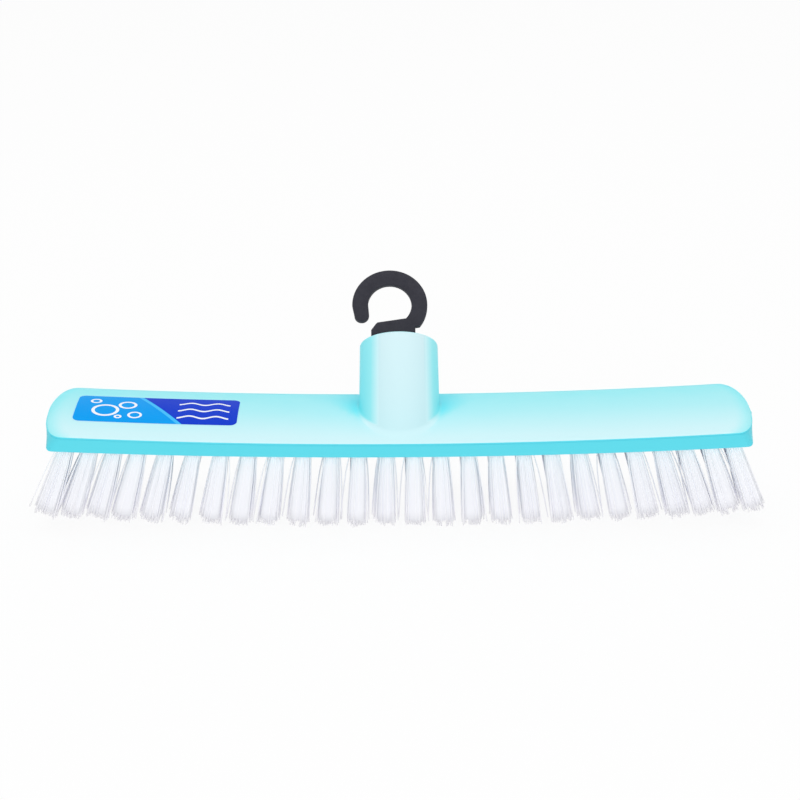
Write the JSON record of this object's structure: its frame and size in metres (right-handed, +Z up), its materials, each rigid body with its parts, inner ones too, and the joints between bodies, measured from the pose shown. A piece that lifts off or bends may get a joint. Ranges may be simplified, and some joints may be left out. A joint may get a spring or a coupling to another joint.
{
  "type": "scrub broom head",
  "caption": "Arched plastic scrub broom head with fanned stiff bristle tufts, a leaning round socket for a handle, a hanging hook plugged in the socket and a blank sticker.",
  "frame": {"origin": "on the floor that the bristles stand on, under the middle of the whole broom head's box", "axes": "+X along the block, +Y the way the handle leans, +Z up from the bristle tips to the socket"},
  "size_m": [0.3138, 0.078, 0.0911],
  "materials": {
    "block_plastic": "satin moulded aqua plastic",
    "bristle": "stiff white filament",
    "hook_plastic": "matt black plastic",
    "sticker_film": "printed blue film"
  },
  "bodies": {
    "head": {"block": "block_plastic", "tuft_column_01": "bristle", "tuft_column_02": "bristle", "tuft_column_03": "bristle", "tuft_column_04": "bristle", "tuft_column_05": "bristle", "tuft_column_06": "bristle", "tuft_column_07": "bristle", "tuft_column_08": "bristle", "tuft_column_09": "bristle", "tuft_column_10": "bristle", "tuft_column_11": "bristle", "tuft_column_12": "bristle", "tuft_column_13": "bristle", "tuft_column_14": "bristle", "tuft_column_15": "bristle", "tuft_column_16": "bristle", "tuft_column_17": "bristle", "tuft_column_18": "bristle", "tuft_column_19": "bristle", "tuft_column_20": "bristle", "tuft_column_21": "bristle", "tuft_column_22": "bristle", "tuft_column_23": "bristle", "tuft_column_24": "bristle", "tuft_column_25": "bristle", "tuft_column_26": "bristle", "sticker": "sticker_film"},
    "hook": {"hanging_hook": "hook_plastic"}
  },
  "joints": [
    {"name": "hook_pull", "type": "slide", "parent": "head", "child": "hook", "axis": [0, 0.6858, 0.7278], "range_m": [0, 0.035]}
  ]
}
